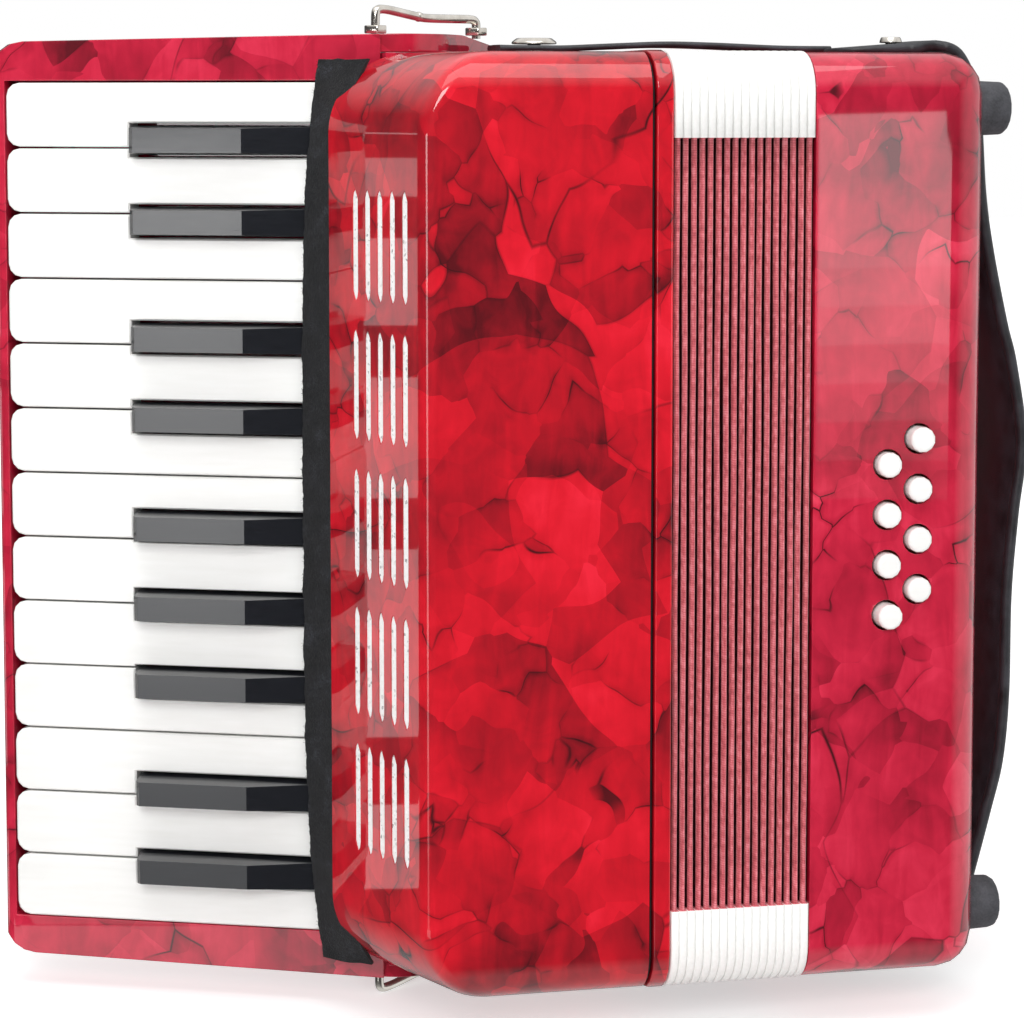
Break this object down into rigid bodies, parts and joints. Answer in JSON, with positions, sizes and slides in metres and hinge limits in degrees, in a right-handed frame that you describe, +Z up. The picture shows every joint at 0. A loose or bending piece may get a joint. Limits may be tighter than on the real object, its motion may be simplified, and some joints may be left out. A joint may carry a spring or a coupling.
{
  "type": "piano accordion",
  "caption": "Small piano accordion with pearl celluloid casings, sprung piano keys, bass buttons, pleated bellows, leather hand strap, bellows straps and wire bails.",
  "frame": {"origin": "under the middle of the bounding box, at the height of the lowest point", "axes": "+X from the keyboard to the bass side, +Y from the front face towards the player, +Z up, with the lowest note at the top"},
  "size_m": [0.3108, 0.1554, 0.3065],
  "materials": {
    "pearloid": "polished red pearl celluloid",
    "white_celluloid": "polished white",
    "black_plastic": "satin black",
    "felt": "black felt",
    "lining_cloth": "silvery woven cloth",
    "bellows_cloth": "red bellows tape with white corners",
    "leather": "smooth black",
    "foot_rubber": "matte dark grey",
    "nickel": "nickel plate",
    "steel": "plain",
    "plywood": "bare",
    "gasket": "matte black"
  },
  "bodies": {
    "treble": {"treble_box": "pearloid", "treble_soundboard": "plywood", "treble_reed_block": "plywood", "keyboard_frame": "pearloid", "key_axle": "steel", "grille_cover": "pearloid", "grille_lining": "lining_cloth", "key_felt": "felt", "treble_gasket": "gasket", "treble_bellows_frame": "pearloid", "bellows": "bellows_cloth", "bail_top": "nickel", "bail_bottom": "nickel"},
    "bass": {"bass_box": "pearloid", "bass_end_plate": "pearloid", "bass_soundboard": "plywood", "bass_reed_block": "plywood", "button_board": "plywood", "hand_strap": "leather", "hand_strap_screw_top": "nickel", "hand_strap_screw_bottom": "nickel", "foot_1": "foot_rubber", "foot_2": "foot_rubber", "foot_3": "foot_rubber", "foot_4": "foot_rubber"},
    "closure_top": {"closure_strap_top": "leather", "snap_cap_top": "nickel"},
    "closure_bottom": {"closure_strap_bottom": "leather", "snap_cap_bottom": "nickel"},
    "air_button": {"air_button": "white_celluloid"},
    "white_key_01": {"white_key_01": "white_celluloid"},
    "white_key_02": {"white_key_02": "white_celluloid"},
    "white_key_03": {"white_key_03": "white_celluloid"},
    "white_key_04": {"white_key_04": "white_celluloid"},
    "white_key_05": {"white_key_05": "white_celluloid"},
    "white_key_06": {"white_key_06": "white_celluloid"},
    "white_key_07": {"white_key_07": "white_celluloid"},
    "white_key_08": {"white_key_08": "white_celluloid"},
    "white_key_09": {"white_key_09": "white_celluloid"},
    "white_key_10": {"white_key_10": "white_celluloid"},
    "white_key_11": {"white_key_11": "white_celluloid"},
    "white_key_12": {"white_key_12": "white_celluloid"},
    "white_key_13": {"white_key_13": "white_celluloid"},
    "black_key_01": {"black_key_01": "black_plastic"},
    "black_key_02": {"black_key_02": "black_plastic"},
    "black_key_03": {"black_key_03": "black_plastic"},
    "black_key_04": {"black_key_04": "black_plastic"},
    "black_key_05": {"black_key_05": "black_plastic"},
    "black_key_06": {"black_key_06": "black_plastic"},
    "black_key_07": {"black_key_07": "black_plastic"},
    "black_key_08": {"black_key_08": "black_plastic"},
    "black_key_09": {"black_key_09": "black_plastic"},
    "bass_button_1": {"bass_button_1": "white_celluloid"},
    "bass_button_2": {"bass_button_2": "white_celluloid"},
    "bass_button_3": {"bass_button_3": "white_celluloid"},
    "bass_button_4": {"bass_button_4": "white_celluloid"},
    "bass_button_5": {"bass_button_5": "white_celluloid"},
    "bass_button_6": {"bass_button_6": "white_celluloid"},
    "bass_button_7": {"bass_button_7": "white_celluloid"},
    "bass_button_8": {"bass_button_8": "white_celluloid"}
  },
  "joints": [
    {"name": "bellows_draw", "type": "slide", "parent": "treble", "child": "bass", "axis": [1, 0, 0], "range_m": [0, 0.25], "deforming": ["bellows"]},
    {"name": "white_key_01_press", "type": "hinge", "parent": "treble", "child": "white_key_01", "pos_m": [-0.0552, -0.00506, 0.15326], "axis": [0, 0, -1], "range_deg": [0, 2.2], "stiffness_Nm_per_rad": 0.6, "springref_deg": -11.46},
    {"name": "white_key_02_press", "type": "hinge", "parent": "treble", "child": "white_key_02", "pos_m": [-0.0552, -0.00506, 0.15326], "axis": [0, 0, -1], "range_deg": [0, 2.2], "stiffness_Nm_per_rad": 0.6, "springref_deg": -11.46},
    {"name": "white_key_03_press", "type": "hinge", "parent": "treble", "child": "white_key_03", "pos_m": [-0.0552, -0.00506, 0.15326], "axis": [0, 0, -1], "range_deg": [0, 2.2], "stiffness_Nm_per_rad": 0.6, "springref_deg": -11.46},
    {"name": "white_key_04_press", "type": "hinge", "parent": "treble", "child": "white_key_04", "pos_m": [-0.0552, -0.00506, 0.15326], "axis": [0, 0, -1], "range_deg": [0, 2.2], "stiffness_Nm_per_rad": 0.6, "springref_deg": -11.46},
    {"name": "white_key_05_press", "type": "hinge", "parent": "treble", "child": "white_key_05", "pos_m": [-0.0552, -0.00506, 0.15326], "axis": [0, 0, -1], "range_deg": [0, 2.2], "stiffness_Nm_per_rad": 0.6, "springref_deg": -11.46},
    {"name": "white_key_06_press", "type": "hinge", "parent": "treble", "child": "white_key_06", "pos_m": [-0.0552, -0.00506, 0.15326], "axis": [0, 0, -1], "range_deg": [0, 2.2], "stiffness_Nm_per_rad": 0.6, "springref_deg": -11.46},
    {"name": "white_key_07_press", "type": "hinge", "parent": "treble", "child": "white_key_07", "pos_m": [-0.0552, -0.00506, 0.15326], "axis": [0, 0, -1], "range_deg": [0, 2.2], "stiffness_Nm_per_rad": 0.6, "springref_deg": -11.46},
    {"name": "white_key_08_press", "type": "hinge", "parent": "treble", "child": "white_key_08", "pos_m": [-0.0552, -0.00506, 0.15326], "axis": [0, 0, -1], "range_deg": [0, 2.2], "stiffness_Nm_per_rad": 0.6, "springref_deg": -11.46},
    {"name": "white_key_09_press", "type": "hinge", "parent": "treble", "child": "white_key_09", "pos_m": [-0.0552, -0.00506, 0.15326], "axis": [0, 0, -1], "range_deg": [0, 2.2], "stiffness_Nm_per_rad": 0.6, "springref_deg": -11.46},
    {"name": "white_key_10_press", "type": "hinge", "parent": "treble", "child": "white_key_10", "pos_m": [-0.0552, -0.00506, 0.15326], "axis": [0, 0, -1], "range_deg": [0, 2.2], "stiffness_Nm_per_rad": 0.6, "springref_deg": -11.46},
    {"name": "white_key_11_press", "type": "hinge", "parent": "treble", "child": "white_key_11", "pos_m": [-0.0552, -0.00506, 0.15326], "axis": [0, 0, -1], "range_deg": [0, 2.2], "stiffness_Nm_per_rad": 0.6, "springref_deg": -11.46},
    {"name": "white_key_12_press", "type": "hinge", "parent": "treble", "child": "white_key_12", "pos_m": [-0.0552, -0.00506, 0.15326], "axis": [0, 0, -1], "range_deg": [0, 2.2], "stiffness_Nm_per_rad": 0.6, "springref_deg": -11.46},
    {"name": "white_key_13_press", "type": "hinge", "parent": "treble", "child": "white_key_13", "pos_m": [-0.0552, -0.00506, 0.15326], "axis": [0, 0, -1], "range_deg": [0, 2.2], "stiffness_Nm_per_rad": 0.6, "springref_deg": -11.46},
    {"name": "black_key_01_press", "type": "hinge", "parent": "treble", "child": "black_key_01", "pos_m": [-0.0552, -0.00506, 0.15326], "axis": [0, 0, -1], "range_deg": [0, 2.2], "stiffness_Nm_per_rad": 0.6, "springref_deg": -11.46},
    {"name": "black_key_02_press", "type": "hinge", "parent": "treble", "child": "black_key_02", "pos_m": [-0.0552, -0.00506, 0.15326], "axis": [0, 0, -1], "range_deg": [0, 2.2], "stiffness_Nm_per_rad": 0.6, "springref_deg": -11.46},
    {"name": "black_key_03_press", "type": "hinge", "parent": "treble", "child": "black_key_03", "pos_m": [-0.0552, -0.00506, 0.15326], "axis": [0, 0, -1], "range_deg": [0, 2.2], "stiffness_Nm_per_rad": 0.6, "springref_deg": -11.46},
    {"name": "black_key_04_press", "type": "hinge", "parent": "treble", "child": "black_key_04", "pos_m": [-0.0552, -0.00506, 0.15326], "axis": [0, 0, -1], "range_deg": [0, 2.2], "stiffness_Nm_per_rad": 0.6, "springref_deg": -11.46},
    {"name": "black_key_05_press", "type": "hinge", "parent": "treble", "child": "black_key_05", "pos_m": [-0.0552, -0.00506, 0.15326], "axis": [0, 0, -1], "range_deg": [0, 2.2], "stiffness_Nm_per_rad": 0.6, "springref_deg": -11.46},
    {"name": "black_key_06_press", "type": "hinge", "parent": "treble", "child": "black_key_06", "pos_m": [-0.0552, -0.00506, 0.15326], "axis": [0, 0, -1], "range_deg": [0, 2.2], "stiffness_Nm_per_rad": 0.6, "springref_deg": -11.46},
    {"name": "black_key_07_press", "type": "hinge", "parent": "treble", "child": "black_key_07", "pos_m": [-0.0552, -0.00506, 0.15326], "axis": [0, 0, -1], "range_deg": [0, 2.2], "stiffness_Nm_per_rad": 0.6, "springref_deg": -11.46},
    {"name": "black_key_08_press", "type": "hinge", "parent": "treble", "child": "black_key_08", "pos_m": [-0.0552, -0.00506, 0.15326], "axis": [0, 0, -1], "range_deg": [0, 2.2], "stiffness_Nm_per_rad": 0.6, "springref_deg": -11.46},
    {"name": "black_key_09_press", "type": "hinge", "parent": "treble", "child": "black_key_09", "pos_m": [-0.0552, -0.00506, 0.15326], "axis": [0, 0, -1], "range_deg": [0, 2.2], "stiffness_Nm_per_rad": 0.6, "springref_deg": -11.46},
    {"name": "bass_button_1_press", "type": "slide", "parent": "bass", "child": "bass_button_1", "axis": [0, 1, 0], "range_m": [0, 0.003], "stiffness_N_per_m": 60, "springref_m": -0.008},
    {"name": "bass_button_2_press", "type": "slide", "parent": "bass", "child": "bass_button_2", "axis": [0, 1, 0], "range_m": [0, 0.003], "stiffness_N_per_m": 60, "springref_m": -0.008},
    {"name": "bass_button_3_press", "type": "slide", "parent": "bass", "child": "bass_button_3", "axis": [0, 1, 0], "range_m": [0, 0.003], "stiffness_N_per_m": 60, "springref_m": -0.008},
    {"name": "bass_button_4_press", "type": "slide", "parent": "bass", "child": "bass_button_4", "axis": [0, 1, 0], "range_m": [0, 0.003], "stiffness_N_per_m": 60, "springref_m": -0.008},
    {"name": "bass_button_5_press", "type": "slide", "parent": "bass", "child": "bass_button_5", "axis": [0, 1, 0], "range_m": [0, 0.003], "stiffness_N_per_m": 60, "springref_m": -0.008},
    {"name": "bass_button_6_press", "type": "slide", "parent": "bass", "child": "bass_button_6", "axis": [0, 1, 0], "range_m": [0, 0.003], "stiffness_N_per_m": 60, "springref_m": -0.008},
    {"name": "bass_button_7_press", "type": "slide", "parent": "bass", "child": "bass_button_7", "axis": [0, 1, 0], "range_m": [0, 0.003], "stiffness_N_per_m": 60, "springref_m": -0.008},
    {"name": "bass_button_8_press", "type": "slide", "parent": "bass", "child": "bass_button_8", "axis": [0, 1, 0], "range_m": [0, 0.003], "stiffness_N_per_m": 60, "springref_m": -0.008},
    {"name": "air_button_press", "type": "slide", "parent": "bass", "child": "air_button", "axis": [-1, 0, 0], "range_m": [0, 0.003], "stiffness_N_per_m": 60, "springref_m": -0.008},
    {"name": "closure_top_swing", "type": "hinge", "parent": "bass", "child": "closure_top", "pos_m": [0.10269, 0.00615, 0.29356], "axis": [0, 1, 0], "range_deg": [0, 110]},
    {"name": "closure_bottom_swing", "type": "hinge", "parent": "bass", "child": "closure_bottom", "pos_m": [0.10269, 0.00615, 0.01296], "axis": [0, -1, 0], "range_deg": [0, 110]}
  ]
}
